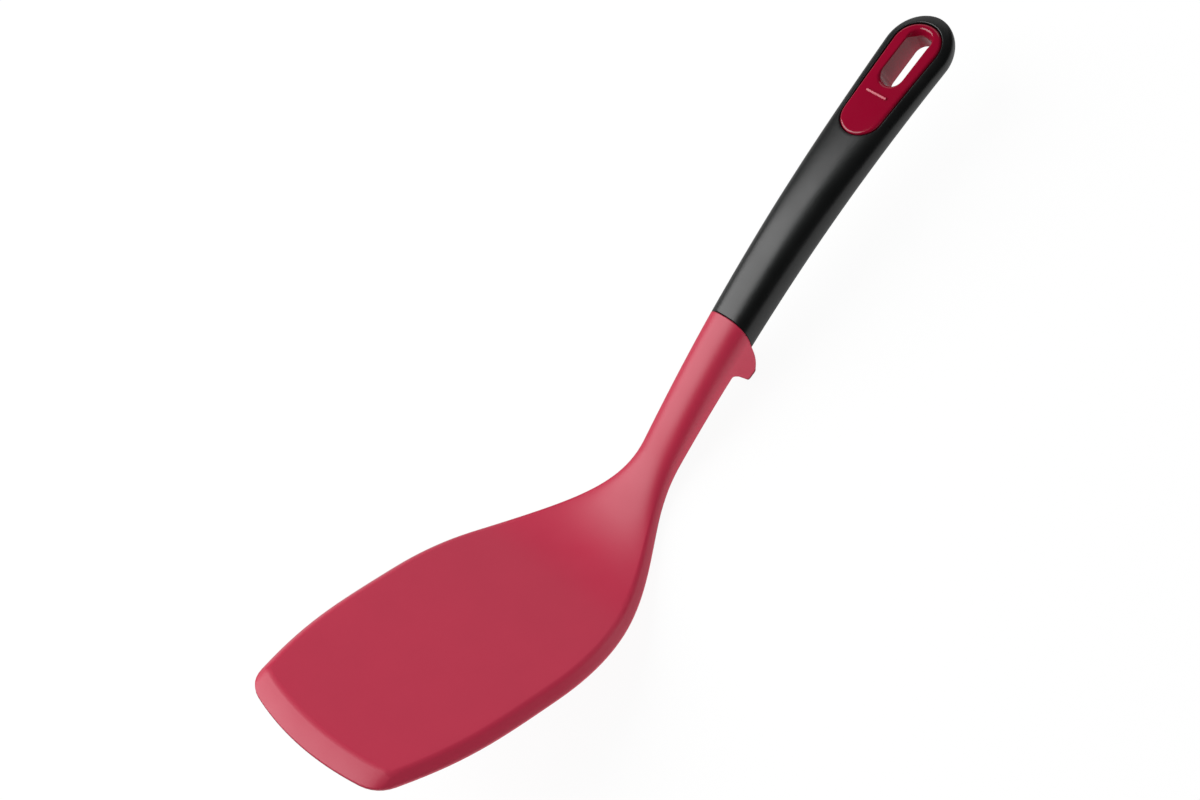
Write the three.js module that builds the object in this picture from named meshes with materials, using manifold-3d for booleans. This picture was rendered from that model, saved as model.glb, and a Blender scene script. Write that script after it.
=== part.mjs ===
// A silicone turner in millimetres, with +Z up and +X along its length, from the blade's tip to the handle.
// It lies as on a worktop: the heel of its bend and the foot under its neck touch, and the tip is raised.
// Places on it are given as a run along the centre line from the tip, a distance across (y), and a rise (u)
// from the centre line, square to it.
import * as THREE from 'three';
import { mergeVertices } from 'three/addons/utils/BufferGeometryUtils.js';
import Module from 'manifold-3d';

const wasm = await Module();
wasm.setup();

const { degToRad, lerp, smoothstep } = THREE.MathUtils;

// Centre line, seen from the side
const restLean = degToRad(34);
const bladeStraight = 106;
const bendRadius = 71.5;
const bendAngle = degToRad(51.1);
const gripRadius = 572;

// Outline of the head, seen from above the blade
const tipHalfWidth = 32.5;
const tipBow = 5;
const cornerRound = 6.5;
const sideSplay = degToRad(16.8);
const sideEase = 0.4;
const widestAt = 73.4;
const bladeHalfWidth = 41.6;
const shoulderReach = 52;
const neckReach = 29;
const neckStart = 168.5;
const neckHalfWidth = 8;

// Section of the blade
const bladeThickness = 4.2;
const lipHeight = 1.2;
const frontBevel = 7.2;
const sideBevel = 3.2;
const bevelEnds = 100;

// Oval sections of the neck and the grip
const ovalPower = 2.45;
const gripThickness = 15.1;
const gripHalfWidth = 13;
const gripFlarePower = 1.44;
const handleLength = 125.2;
const plainLength = 30;
const endTop = 3.7;
const endUnder = 7.85;
const endRound = 14.2;
const endThinning = 0.57;
const endBluntness = 2;

// Seam between the head and the handle, leaning towards the blade at its lower side
const seamTop = 220.5;
const seamTilt = degToRad(23);
const seamGap = 0.3;

// Foot under the neck that keeps the blade off a worktop
const footBeforeSeam = 16.1;
const footHalfWidth = 7;
const footPad = 4;
const footBow = 1.2;
const footFillet = 3.5;
const footEdge = 1.2;
const footRoot = 3;

// Stiff core that the silicone is moulded over, with its tang in the handle
const coreFromTip = 15;
const coreRim = 9;
const coreCorner = 5;
const plateThickness = 1.4;
const stemHalfWidth = 4.8;
const stemThickness = 5.2;
const corePower = 4;
const coreFit = 0.3;
const tangLength = 56;
const tangTipHalfWidth = 4;
const tangTipThickness = 4.2;
const barbBack = 16;
const barbHeight = 0.8;
const barbStep = 0.5;
const barbRamp = 7;

// Keys of silicone through the core's blade, and of grip through the handle's core
const keyRadius = 3.5;
const keyRuns = [42, 72];
const keyAcross = [-17, 0, 17];
const gripKeyRadius = 2;

// Rigid core of the handle, with the tang's socket and the frame of the hanging insert
const socketWall = 1.8;
const frameTongue = 6;
const frameBottom = -4;

// Hanging insert and its slot, set out from the handle's end
const insertEndRim = 4.2;
const insertLength = 46.7;
const insertLowerHalf = 7.9;
const insertUpperHalf = 9.1;
const insertFloor = 0.8;
const insertDrop = 0.35;
const insertPower = 4;
const insertFit = 0.3;
const slotEndRim = 3.75;
const slotLength = 22.2;
const slotHalf = 4.7;
const linerWall = 1.2;
const hookLength = 5;
const hookReach = 0.7;
const hookHeight = 0.8;
const barBeforeSlot = 4.5;
const barLength = 8.9;
const barWidth = 0.9;
const barHeight = 0.4;
const barRoot = 1;

// Colour and roughness of each finish
const siliconeFinish = { color: 0xb22c44, roughness: 0.5 };
const coreFinish = { color: 0x55565a, roughness: 0.6 };
const handleCoreFinish = { color: 0x2b2c2e, roughness: 0.6 };
const gripFinish = { color: 0x1a1b1c, roughness: 0.4 };
const insertFinish = { color: 0x8b0a26, roughness: 0.15 };

// Steps of the lofted surfaces and of the round edges
const acrossCount = 13;
const innerCount = 8;
const sideSteps = 6;
const shoulderSteps = 12;
const neckSteps = 6;
const gripSteps = 9;
const endSteps = 5;
const cornerSteps = 2;
const filletSteps = 5;
const footBackSteps = 4;
const footEdgeSteps = 2;
const arcSteps = 14;
const boreSides = 20;
const edgeAngle = degToRad(7);
const endAngle = degToRad(80);
const overshoot = 3;

// Runs that follow from the sizes above
const bendEnd = bladeStraight + bendRadius * bendAngle;
const footFront = seamTop - footBeforeSeam;
const tangEnd = seamTop + tangLength;
const centreLength = seamTop + handleLength;
const gripEnd = centreLength - endRound;
const insertUpper = centreLength - insertEndRim;
const insertLower = insertUpper - insertLength;
const eyeAt = (insertLower + insertUpper) / 2;
const slotUpper = insertUpper - slotEndRim;
const slotLower = slotUpper - slotLength;
const barAt = slotLower - barBeforeSlot;
const gripKeyAt = (tangEnd + insertLower) / 2;

// Centre line: the straight blade, its bend, then the long curve of the neck and the handle
function centreAt(run) {
  const stretches = [
    { length: bladeStraight, curvature: 0 },
    { length: bendEnd - bladeStraight, curvature: 1 / bendRadius },
    { length: Infinity, curvature: -1 / gripRadius },
  ];
  let x = 0;
  let z = 0;
  let slope = -restLean;
  let left = run;
  for (const { length, curvature } of stretches) {
    const step = Math.min(left, length);
    const turned = slope + curvature * step;
    if (curvature === 0) {
      x += step * Math.cos(slope);
      z += step * Math.sin(slope);
    } else {
      x += (Math.sin(turned) - Math.sin(slope)) / curvature;
      z += (Math.cos(slope) - Math.cos(turned)) / curvature;
    }
    slope = turned;
    left -= step;
  }
  return { x, z, slope };
}

function place(run, y, u) {
  const { x, z, slope } = centreAt(run);
  return new THREE.Vector3(x - u * Math.sin(slope), y, z + u * Math.cos(slope));
}

function frameAt(run) {
  const { x, z, slope } = centreAt(run);
  return new THREE.Matrix4().makeRotationY(-slope).setPosition(x, 0, z);
}

function seamRun(u) {
  return seamTop - (gripThickness / 2 - u) * Math.tan(seamTilt);
}

// Half thickness of the blade and the neck, which swells along the bend
function halfThicknessAt(run) {
  return lerp(bladeThickness, gripThickness, smoothstep(run, bladeStraight, seamTop)) / 2;
}

// Rise of the handle's top over the centre line, and depth of its underside: even behind the seam, then
// changing towards the end
function endShare(run) {
  return smoothstep(run, seamTop + plainLength, centreLength);
}

function handleTopAt(run) {
  return lerp(gripThickness / 2, endTop, endShare(run));
}

function handleUnderAt(run) {
  return lerp(gripThickness / 2, endUnder, endShare(run));
}

// Half width of the neck and the grip
function stemWidthAt(run) {
  const share = Math.max(0, (run - neckStart) / (gripEnd - neckStart));
  return lerp(neckHalfWidth, gripHalfWidth, share ** gripFlarePower);
}

// A run along the head's edge and its half width there, from the front bevel's corner to the neck
function headStations() {
  const cornerHalf = tipHalfWidth + frontBevel * Math.tan(sideSplay);
  const start = new THREE.Vector2(tipBow + frontBevel, cornerHalf);
  const widest = new THREE.Vector2(widestAt, bladeHalfWidth);
  const neck = new THREE.Vector2(neckStart, neckHalfWidth);
  const reach = (widestAt - start.x) * sideEase;
  const side = new THREE.CubicBezierCurve(
    start,
    new THREE.Vector2(start.x + reach, start.y + reach * Math.tan(sideSplay)),
    new THREE.Vector2(widest.x - reach, widest.y),
    widest,
  );
  const shoulder = new THREE.CubicBezierCurve(
    widest,
    new THREE.Vector2(widest.x + shoulderReach, widest.y),
    new THREE.Vector2(neck.x - neckReach, neck.y),
    neck,
  );
  const edge = [...side.getPoints(sideSteps), ...shoulder.getPoints(shoulderSteps).slice(1)];
  return edge.map((point) => ({ run: point.x, halfWidth: point.y }));
}

function neckStations() {
  const lastRun = seamRun(-gripThickness / 2) - overshoot;
  return Array.from({ length: neckSteps }, (_, i) => {
    const run = lerp(neckStart, lastRun, (i + 1) / neckSteps);
    return { run, halfWidth: stemWidthAt(run) };
  });
}

// An oval ring's upper and lower points, each from the left edge to the right
function ovalSection(halfWidth, top, under, power, count) {
  const half = (height) => Array.from({ length: count }, (_, j) => {
    const angle = lerp(edgeAngle, Math.PI - edgeAngle, j / (count - 1));
    const across = Math.cos(angle);
    return {
      y: halfWidth * Math.sign(across) * Math.abs(across) ** (2 / power),
      u: height * Math.sin(angle) ** (2 / power),
    };
  });
  return { upper: half(top), lower: half(-under) };
}

function evenOval(halfWidth, halfThickness, power, count) {
  return ovalSection(halfWidth, halfThickness, halfThickness, power, count);
}

// The blade's flat top with its bevelled sides, over a flat underside
function bladeSection(halfWidth, halfThickness) {
  const topHalf = halfWidth - sideBevel;
  const lip = lipHeight - halfThickness;
  const top = Array.from({ length: acrossCount - 2 }, (_, j) => ({
    y: topHalf * (1 - (2 * j) / (acrossCount - 3)),
    u: halfThickness,
  }));
  const lower = Array.from({ length: acrossCount }, (_, j) => ({
    y: halfWidth * (1 - (2 * j) / (acrossCount - 1)),
    u: -halfThickness,
  }));
  return { upper: [{ y: halfWidth, u: lip }, ...top, { y: -halfWidth, u: lip }], lower };
}

function neckShare(run) {
  return smoothstep(run, bevelEnds, neckStart);
}

// The blade's section turning into the neck's oval along the bend
function headSection({ run, halfWidth }) {
  const halfThickness = halfThicknessAt(run);
  const blade = bladeSection(halfWidth, halfThickness);
  const oval = evenOval(halfWidth, halfThickness, ovalPower, acrossCount);
  const share = neckShare(run);
  const mix = (from, to) => from.map(({ y, u }, j) => ({
    y: lerp(y, to[j].y, share),
    u: lerp(u, to[j].u, share),
  }));
  return { upper: mix(blade.upper, oval.upper), lower: mix(blade.lower, oval.lower) };
}

// A section as a closed ring of points, with its run given for each point, and lowered if need be
function ring(section, runOf, drop = 0) {
  const points = [...section.upper, ...section.lower.toReversed()];
  return points.map(({ y, u }) => place(runOf(y, u), y, u - drop));
}

// The lip around the blade's front: half of a corner's curve, then the bowed tip
function lipRing() {
  const halfThickness = bladeThickness / 2;
  const corner = new THREE.Vector2(tipBow, tipHalfWidth);
  const sideWay = new THREE.Vector2(Math.cos(sideSplay), Math.sin(sideSplay));
  const sideEnd = corner.clone().addScaledVector(sideWay, cornerRound);
  const bowAt = (y) => tipBow * (y / tipHalfWidth) ** 2;
  const frontHalf = tipHalfWidth - cornerRound;
  const frontEnd = new THREE.Vector2(bowAt(frontHalf), frontHalf);
  const cornerCurve = new THREE.QuadraticBezierCurve(sideEnd, corner, frontEnd);
  const round = cornerCurve.getPoints(cornerSteps).slice(0, cornerSteps);
  const frontCount = acrossCount - 2 * cornerSteps;
  const front = Array.from({ length: frontCount }, (_, j) => {
    const y = frontHalf * (1 - (2 * j) / (frontCount - 1));
    return new THREE.Vector2(bowAt(y), y);
  });
  const mirrored = round.toReversed().map((point) => new THREE.Vector2(point.x, -point.y));
  const outline = [...round, ...front, ...mirrored];
  const top = outline.map((point) => place(point.x, point.y, lipHeight - halfThickness));
  const bottom = outline.map((point) => place(point.x, point.y, -halfThickness));
  return [...top, ...bottom.toReversed()];
}

// A closed skin over rings of one size, with each end closed across from the upper points to the lower ones
function loft(rings) {
  const size = rings[0].length;
  const positions = rings.flat().flatMap((point) => point.toArray());
  const index = [];
  const quad = (a, b, c, d) => index.push(a, b, c, a, c, d);
  for (let r = 0; r < rings.length - 1; r += 1) {
    for (let i = 0; i < size; i += 1) {
      const next = (i + 1) % size;
      quad(r * size + i, r * size + next, (r + 1) * size + next, (r + 1) * size + i);
    }
  }
  const last = (rings.length - 1) * size;
  for (let j = 0; j < size / 2 - 1; j += 1) {
    quad(size - 1 - j, size - 2 - j, j + 1, j);
    quad(last + j, last + j + 1, last + size - 2 - j, last + size - 1 - j);
  }
  const geometry = new THREE.BufferGeometry();
  geometry.setAttribute('position', new THREE.Float32BufferAttribute(positions, 3));
  geometry.setIndex(index);
  return toSolid(geometry);
}

function toSolid(geometry) {
  geometry.deleteAttribute('normal');
  geometry.deleteAttribute('uv');
  const merged = mergeVertices(geometry);
  const vertProperties = new Float32Array(merged.attributes.position.array);
  const triVerts = new Uint32Array(merged.index.array);
  return new wasm.Manifold(new wasm.Mesh({ numProp: 3, vertProperties, triVerts }));
}

// An outline in the centre line's run and width, raised from one height to another in a local frame
function prism(shape, bottom, top, frame) {
  const depth = top - bottom;
  const geometry = new THREE.ExtrudeGeometry(shape, { depth, bevelEnabled: false, curveSegments: arcSteps });
  geometry.translate(0, 0, bottom);
  geometry.applyMatrix4(frame);
  return toSolid(geometry);
}

// Two round ends of their own sizes, joined by straight sides
function taperedSlot(start, end, startHalf, endHalf) {
  const first = start + startHalf;
  const second = end - endHalf;
  const tilt = Math.asin((endHalf - startHalf) / (second - first));
  const quarter = Math.PI / 2 + tilt;
  const shape = new THREE.Shape();
  shape.absarc(second, 0, endHalf, -quarter, quarter, false);
  shape.absarc(first, 0, startHalf, quarter, 2 * Math.PI - quarter, false);
  return shape;
}

function box(length, width, height, run, u, frame) {
  const geometry = new THREE.BoxGeometry(length, width, height);
  geometry.translate(run, 0, u);
  geometry.applyMatrix4(frame);
  return toSolid(geometry);
}

function column(radius, run, y) {
  const height = gripThickness + 2 * overshoot;
  const geometry = new THREE.CylinderGeometry(radius, radius, height, boreSides);
  geometry.rotateX(Math.PI / 2);
  geometry.translate(0, y, 0);
  geometry.applyMatrix4(frameAt(run));
  return toSolid(geometry);
}

// Outer surface of the head, from the lip at the tip to the seam
function headOuter() {
  const stations = [...headStations(), ...neckStations()];
  const bulgeAt = (run) => tipBow * (1 - smoothstep(run, tipBow + frontBevel, widestAt));
  const rings = stations.map((station) => {
    const bulge = bulgeAt(station.run);
    const runOf = (y) => station.run - bulge * (1 - (y / station.halfWidth) ** 2);
    return ring(headSection(station), runOf);
  });
  const seam = evenOval(stemWidthAt(seamTop), gripThickness / 2, ovalPower, acrossCount);
  return { stations, rings: [lipRing(), ...rings, ring(seam, (y, u) => seamRun(u))] };
}

// Foot in the side view: a hollow root in front, a flat pad on the worktop and a back sloping to the seam
function foot(ground) {
  const underside = -halfThicknessAt(footFront);
  const backUnder = -gripThickness / 2;
  const inside = underside + footRoot;
  const point = (run, u) => {
    const { x, z } = place(run, 0, u);
    return new THREE.Vector2(x, z);
  };
  const rootEnd = point(footFront, underside - footFillet);
  const down = new THREE.Vector2().subVectors(rootEnd, point(footFront, inside));
  const padFront = rootEnd.clone().addScaledVector(down, (ground - rootEnd.y) / down.y);
  const fillet = new THREE.QuadraticBezierCurve(
    point(footFront - footFillet, underside),
    point(footFront, underside),
    rootEnd,
  );
  const padBack = new THREE.Vector2(padFront.x + footPad, ground);
  const backTop = point(seamRun(backUnder), backUnder);
  const backWay = new THREE.Vector2().subVectors(backTop, padBack);
  const backBow = new THREE.Vector2(backWay.y, -backWay.x).setLength(2 * footBow);
  const backMiddle = new THREE.Vector2().lerpVectors(padBack, backTop, 0.5).add(backBow);
  const back = new THREE.QuadraticBezierCurve(padBack, backMiddle, backTop);
  const shape = new THREE.Shape([
    point(footFront - footFillet, inside),
    ...fillet.getPoints(filletSteps),
    padFront,
    ...back.getPoints(footBackSteps),
    point(seamRun(inside) - footEdge, inside),
  ]);
  const geometry = new THREE.ExtrudeGeometry(shape, {
    depth: 2 * (footHalfWidth - footEdge),
    bevelThickness: footEdge,
    bevelSize: footEdge,
    bevelOffset: -footEdge,
    bevelSegments: footEdgeSteps,
  });
  geometry.rotateX(Math.PI / 2);
  geometry.translate(0, footHalfWidth - footEdge, 0);
  return toSolid(geometry);
}

// The core's stations in the head: a plate in the blade, turning into a stem in the neck
function coreStations(stations) {
  const plate = stations.filter(({ run }) => run > coreFromTip + coreCorner).map(({ run, halfWidth }) => {
    const share = neckShare(run);
    return {
      run,
      halfWidth: lerp(halfWidth - coreRim, stemHalfWidth, share),
      halfThickness: lerp(plateThickness, stemThickness, share) / 2,
    };
  });
  const front = { ...plate[0], run: coreFromTip, halfWidth: plate[0].halfWidth - coreCorner };
  return [front, ...plate];
}

// The core's tang in the handle, with a barb that keeps it there
function tangStations() {
  const barbAt = tangEnd - barbBack;
  const plain = (run) => {
    const share = (run - seamTop) / tangLength;
    return {
      run,
      halfWidth: lerp(stemHalfWidth, tangTipHalfWidth, share),
      halfThickness: lerp(stemThickness, tangTipThickness, share) / 2,
    };
  };
  const raised = plain(barbAt + barbStep);
  raised.halfThickness += barbHeight;
  return [plain(seamTop), plain(barbAt), raised, plain(barbAt + barbStep + barbRamp), plain(tangEnd)];
}

// Rings over a list of stations, grown by a clearance or a wall
function innerRings(stations, grow) {
  return stations.map(({ run, halfWidth, halfThickness }) => {
    const section = evenOval(halfWidth + grow, halfThickness + grow, corePower, innerCount);
    return ring(section, () => run);
  });
}

function shifted(station, distance) {
  return { ...station, run: station.run + distance };
}

function cutKeys(solid, radius) {
  const keys = keyRuns.flatMap((run) => keyAcross.map((y) => column(radius, run, y)));
  return keys.reduce((left, key) => left.subtract(key), solid);
}

function headCore(stations) {
  return cutKeys(loft(innerRings([...coreStations(stations), ...tangStations()], 0)), keyRadius);
}

function headSkin(stations, rings) {
  const ground = Math.min(...rings.flat().map((point) => point.z));
  const inner = coreStations(stations);
  const mouth = shifted(tangStations()[0], overshoot);
  const hollow = [shifted(inner[0], -coreFit), ...inner.slice(1), mouth];
  const cavity = cutKeys(loft(innerRings(hollow, coreFit)), keyRadius - coreFit);
  return loft(rings).add(foot(ground)).subtract(cavity);
}

// The handle from the seam to its rounded end, as squarish as its power says, and lowered if need be
function handleSurface(power, drop) {
  const sectionAt = (run, halfWidth, share) => {
    return ovalSection(halfWidth, handleTopAt(run) * share, handleUnderAt(run) * share, power, acrossCount);
  };
  const seam = sectionAt(seamTop, stemWidthAt(seamTop), 1);
  const rings = [ring(seam, (y, u) => seamRun(u) + seamGap, drop)];
  for (let i = 0; i <= gripSteps; i += 1) {
    const run = lerp(seamTop + 2 * overshoot, gripEnd, i / gripSteps);
    rings.push(ring(sectionAt(run, stemWidthAt(run), 1), () => run, drop));
  }
  for (let i = 1; i <= endSteps; i += 1) {
    const angle = (endAngle * i) / endSteps;
    const run = gripEnd + endRound * Math.sin(angle);
    const share = 1 - endThinning * Math.sin(angle) ** endBluntness;
    rings.push(ring(sectionAt(run, gripHalfWidth * Math.cos(angle), share), () => run, drop));
  }
  return loft(rings);
}

// The insert's outline in its own frame, grown by a clearance, with a tongue towards the blade
function insertOutline(grow, tongue) {
  return taperedSlot(
    insertLower - eyeAt - grow - tongue,
    insertUpper - eyeAt + grow,
    insertLowerHalf + grow,
    insertUpperHalf + grow,
  );
}

function slotOutline(grow) {
  const half = slotHalf + grow;
  return taperedSlot(slotLower - eyeAt - grow, slotUpper - eyeAt + grow, half, half);
}

// The insert's plate, the liner around its slot and the hooks that catch under the frame
function insertBody(grow) {
  const eye = frameAt(eyeAt);
  const plate = prism(insertOutline(grow, 0), insertFloor - grow, gripThickness, eye);
  const liner = prism(slotOutline(linerWall + grow), -gripThickness, gripThickness, eye);
  const hooks = box(
    hookLength + 2 * grow,
    2 * (slotHalf + linerWall + hookReach + grow),
    hookHeight + 2 * grow,
    (slotLower + slotUpper) / 2 - eyeAt,
    frameBottom - insertFit - hookHeight / 2,
    eye,
  );
  return plate.add(liner).add(hooks);
}

function hangInsert(outer) {
  const eye = frameAt(eyeAt);
  const face = handleSurface(insertPower, insertDrop);
  const slot = prism(slotOutline(0), -gripThickness, gripThickness, eye);
  const barMiddle = handleTopAt(barAt) - insertDrop + (barHeight - barRoot) / 2;
  const bar = box(barWidth, barLength, barHeight + barRoot, barAt - eyeAt, barMiddle, eye);
  return insertBody(0).intersect(outer).intersect(face).subtract(slot).add(bar);
}

// The tang's socket, running on as a beam to the frame of the insert, with its front set off from the seam
function handleCoreBody(grow, frontOver) {
  const tang = tangStations();
  const last = tang.at(-1);
  const wall = coreFit + socketWall + grow;
  const mouth = evenOval(tang[0].halfWidth + wall, tang[0].halfThickness + wall, corePower, innerCount);
  const front = ring(mouth, (y, u) => seamRun(u) + seamGap - frontOver);
  const beam = [
    shifted(tang[0], overshoot),
    shifted(last, coreFit + socketWall),
    { ...last, run: insertLower - insertFit + grow },
  ];
  const frameTop = insertFloor - insertFit + grow;
  const frame = prism(insertOutline(grow, frameTongue), frameBottom - grow, frameTop, frameAt(eyeAt));
  return loft([front, ...innerRings(beam, wall)]).add(frame);
}

function handleCore() {
  const tang = tangStations();
  const mouth = shifted(tang[0], -2 * overshoot);
  const socket = loft(innerRings([mouth, ...tang.slice(0, -1), shifted(tang.at(-1), coreFit)], coreFit));
  const liner = prism(slotOutline(linerWall + insertFit), -gripThickness, gripThickness, frameAt(eyeAt));
  return handleCoreBody(0, 0).subtract(socket).subtract(liner).subtract(column(gripKeyRadius, gripKeyAt, 0));
}

function handleGrip(outer) {
  const key = column(gripKeyRadius - coreFit, gripKeyAt, 0);
  const hollow = handleCoreBody(coreFit, overshoot).subtract(key);
  return outer.subtract(hollow).subtract(insertBody(insertFit));
}

function namedMesh(name, solid, finish) {
  const { vertProperties, triVerts } = solid.getMesh();
  const geometry = new THREE.BufferGeometry();
  geometry.setAttribute('position', new THREE.BufferAttribute(vertProperties, 3));
  geometry.setIndex(new THREE.BufferAttribute(triVerts, 1));
  geometry.computeVertexNormals();
  const mesh = new THREE.Mesh(geometry, new THREE.MeshStandardMaterial(finish));
  mesh.name = name;
  return mesh;
}

const { stations, rings } = headOuter();
const outer = handleSurface(ovalPower, 0);
const turner = new THREE.Group();
turner.add(
  namedMesh('silicone_head', headSkin(stations, rings), siliconeFinish),
  namedMesh('head_core', headCore(stations), coreFinish),
  namedMesh('handle_core', handleCore(), handleCoreFinish),
  namedMesh('handle_grip', handleGrip(outer), gripFinish),
  namedMesh('hang_insert', hangInsert(outer), insertFinish),
);

// The origin is under the middle of the whole part, on the worktop
const extent = new THREE.Box3().setFromObject(turner);
turner.position.set(-(extent.min.x + extent.max.x) / 2, 0, -extent.min.z);

export default turner;
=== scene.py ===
"""Silicone turner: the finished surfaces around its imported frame, with its studio and camera."""

import math

import bmesh
import bpy
from mathutils import Matrix, Vector
from mathutils.geometry import interpolate_bezier


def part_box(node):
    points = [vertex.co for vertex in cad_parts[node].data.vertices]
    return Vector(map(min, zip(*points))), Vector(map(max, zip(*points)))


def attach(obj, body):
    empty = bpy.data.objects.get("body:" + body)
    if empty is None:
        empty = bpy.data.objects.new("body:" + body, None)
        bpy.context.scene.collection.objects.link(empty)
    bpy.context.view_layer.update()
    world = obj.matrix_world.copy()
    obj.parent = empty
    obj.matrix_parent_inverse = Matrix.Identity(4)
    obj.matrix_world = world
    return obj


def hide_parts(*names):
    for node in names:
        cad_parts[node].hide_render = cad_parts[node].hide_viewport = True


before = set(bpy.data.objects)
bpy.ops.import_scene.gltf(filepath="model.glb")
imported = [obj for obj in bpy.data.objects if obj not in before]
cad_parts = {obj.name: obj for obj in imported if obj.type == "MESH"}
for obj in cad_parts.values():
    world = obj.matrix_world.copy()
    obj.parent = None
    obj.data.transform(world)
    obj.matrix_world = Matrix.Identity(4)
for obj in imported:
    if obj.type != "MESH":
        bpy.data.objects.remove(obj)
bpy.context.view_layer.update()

# Sizes are in millimetres and angles in radians; place() turns them into metres.
MM = 0.001
WELD = 0.00001

# Centre line: a run in millimetres starts at the middle of the tip and follows the blade and the handle.
REST_LEAN = math.radians(34.0)
BLADE_STRAIGHT = 106.0
BEND_RADIUS = 71.5
BEND_ANGLE = math.radians(51.1)
GRIP_RADIUS = 572.0
STRETCHES = (
    (BLADE_STRAIGHT, 0.0),
    (BEND_RADIUS * BEND_ANGLE, 1.0 / BEND_RADIUS),
    (math.inf, -1.0 / GRIP_RADIUS),
)

# Silicone head.
TIP_HALF_WIDTH = 32.5
TIP_BOW = 5.0
CORNER_ROUND = 6.5
SIDE_SPLAY = math.radians(16.8)
SIDE_EASE = 0.4
WIDEST_AT = 73.4
BLADE_HALF_WIDTH = 41.6
SHOULDER_REACH = 52.0
NECK_REACH = 29.0
NECK_START = 168.5
NECK_HALF_WIDTH = 8.0
BLADE_THICKNESS = 4.2
LIP_HEIGHT = 1.2
BLADE_LIP_EDGE = 0.35
FRONT_BEVEL = 7.2
SIDE_BEVEL = 3.2
RIDGE_EDGE = 1.2
BEVEL_ENDS = 100.0
EDGES_PAST_BEVEL = 13.0
OVAL_POWER = 2.45

# Grip.
GRIP_THICKNESS = 15.1
GRIP_HALF_WIDTH = 13.0
FLARE_POWER = 1.44
HANDLE_LENGTH = 125.2
PLAIN_LENGTH = 30.0
END_TOP = 3.7
END_UNDER = 7.85
END_ROUND = 14.2
END_THINNING = 0.57
END_CLOSING = 8.0
END_SOFTNESS = 0.25
SEAM_TOP = 220.5
SEAM_TILT = math.tan(math.radians(23.0))
SEAM_GAP = 0.2
SEAM_EDGE = 0.3
LEAN_ENDS = 0.6
SEAM_UNDER = SEAM_TOP - GRIP_THICKNESS * SEAM_TILT
CENTRE_LENGTH = SEAM_TOP + HANDLE_LENGTH
GRIP_END = CENTRE_LENGTH - END_ROUND

# Rest foot under the neck.
FOOT_BEFORE_SEAM = 16.1
FOOT_HALF_WIDTH = 7.8
FOOT_PAD = 4.0
FOOT_BOW = 1.2
FOOT_BOW_SHARES = (0.33, 0.67)
FOOT_WALL_SHARES = (0.35, 0.7)
FOOT_FILLET = 1.8
FOOT_EDGE = 1.0
FOOT_POWER = 7.0
CORNER_PULL = 0.67
FOOT_FRONT = SEAM_TOP - FOOT_BEFORE_SEAM

# Insert, its slot and its bar.
INSERT_END_RIM = 4.2
INSERT_LENGTH = 46.7
INSERT_LOWER_HALF = 7.9
INSERT_UPPER_HALF = 9.1
INSERT_FLOOR = 0.8
INSERT_DROP = 0.35
INSERT_POWER = 4.0
INSERT_FIT = 0.3
INSERT_EDGE = 0.9
INSERT_LIFT = 0.3
SLOT_END_RIM = 3.75
SLOT_LENGTH = 22.2
SLOT_HALF = 4.7
SLOT_EDGE = 0.3
SLOT_UNDER_EDGE = 0.2
SLOT_LIP_REACH = 1.1
SLOT_LIP_DEPTH = 2.8
SLOT_LIP_ROUND = 0.6
SLOT_LOWER_LIP = 0.7
LINER_WALL = 1.2
LINER_RECESS = 0.1
BAR_BEFORE_SLOT = 4.5
BAR_LENGTH = 8.9
BAR_WIDTH = 0.9
BAR_HEIGHT = 0.5
BAR_ROOT = 1.0
BAR_TILT = math.radians(12.0)
BAR_END_ROUND = 0.27
BAR_TOP_ROUND = 0.18
BAR_SLOPE_STEP = 1.0
POCKET_FLOOR = -4.3
GRIP_RIM_EDGE = 0.5
EYE_LEAD = 10.0
INSERT_UPPER = CENTRE_LENGTH - INSERT_END_RIM
INSERT_LOWER = INSERT_UPPER - INSERT_LENGTH
SLOT_UPPER = INSERT_UPPER - SLOT_END_RIM
SLOT_LOWER = SLOT_UPPER - SLOT_LENGTH
BAR_AT = SLOT_LOWER - BAR_BEFORE_SLOT
EYE_JOIN = INSERT_LOWER - EYE_LEAD

# Numbers of loops and points on the skins.
BLADE_SIDE_LOOPS = 16
SHOULDER_LOOPS = 40
NECK_LOOPS = 9
RIDGE_SEGMENTS = 5
BLADE_LIP_SEGMENTS = 3
FOOT_FILLET_LOOPS = 8
FOOT_EDGE_LOOPS = 5
FOOT_BACK_LOOPS = 9
SEAM_STEPS = 3
TUBE_LOOPS = 30
RING_HALF = 24
SIDE_STEPS = 20
END_STEPS = 32
STRIP_LOOPS = 16
RIM_STEPS = 4
SLOT_LIP_STEPS = 4
INSERT_FACE_LOOPS = 10
INSERT_EDGE_STEPS = 5
BAR_SEGMENTS = 4

# The frame gives the place of the tip.
head_low, head_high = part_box("silicone_head")
TIP = Vector((
    head_low.x + MM * BLADE_THICKNESS / 2 * math.sin(REST_LEAN),
    0.0,
    head_high.z - MM * (LIP_HEIGHT - BLADE_THICKNESS / 2) * math.cos(REST_LEAN),
))


def lerp(start, end, share):
    return start + (end - start) * share


def smoothstep(value, low, high):
    share = min(max((value - low) / (high - low), 0.0), 1.0)
    return share * share * (3.0 - 2.0 * share)


def ramp(value, knots):
    """The value of a straight-lined graph through (position, height) knots."""
    for (left, low), (right, high) in zip(knots, knots[1:]):
        if value <= right:
            return lerp(low, high, (value - left) / (right - left))
    return knots[-1][1]


def bent(start, corner, end, share):
    """A point of a curve from start to end that is drawn towards a corner."""
    return start.lerp(corner, share).lerp(corner.lerp(end, share), share)


def rounded_corner(start, corner, end, count):
    """Points of a nearly round curve from start to end inside a corner."""
    near_start = start.lerp(corner, CORNER_PULL)
    near_end = end.lerp(corner, CORNER_PULL)
    return interpolate_bezier(start, near_start, near_end, end, count)


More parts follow.
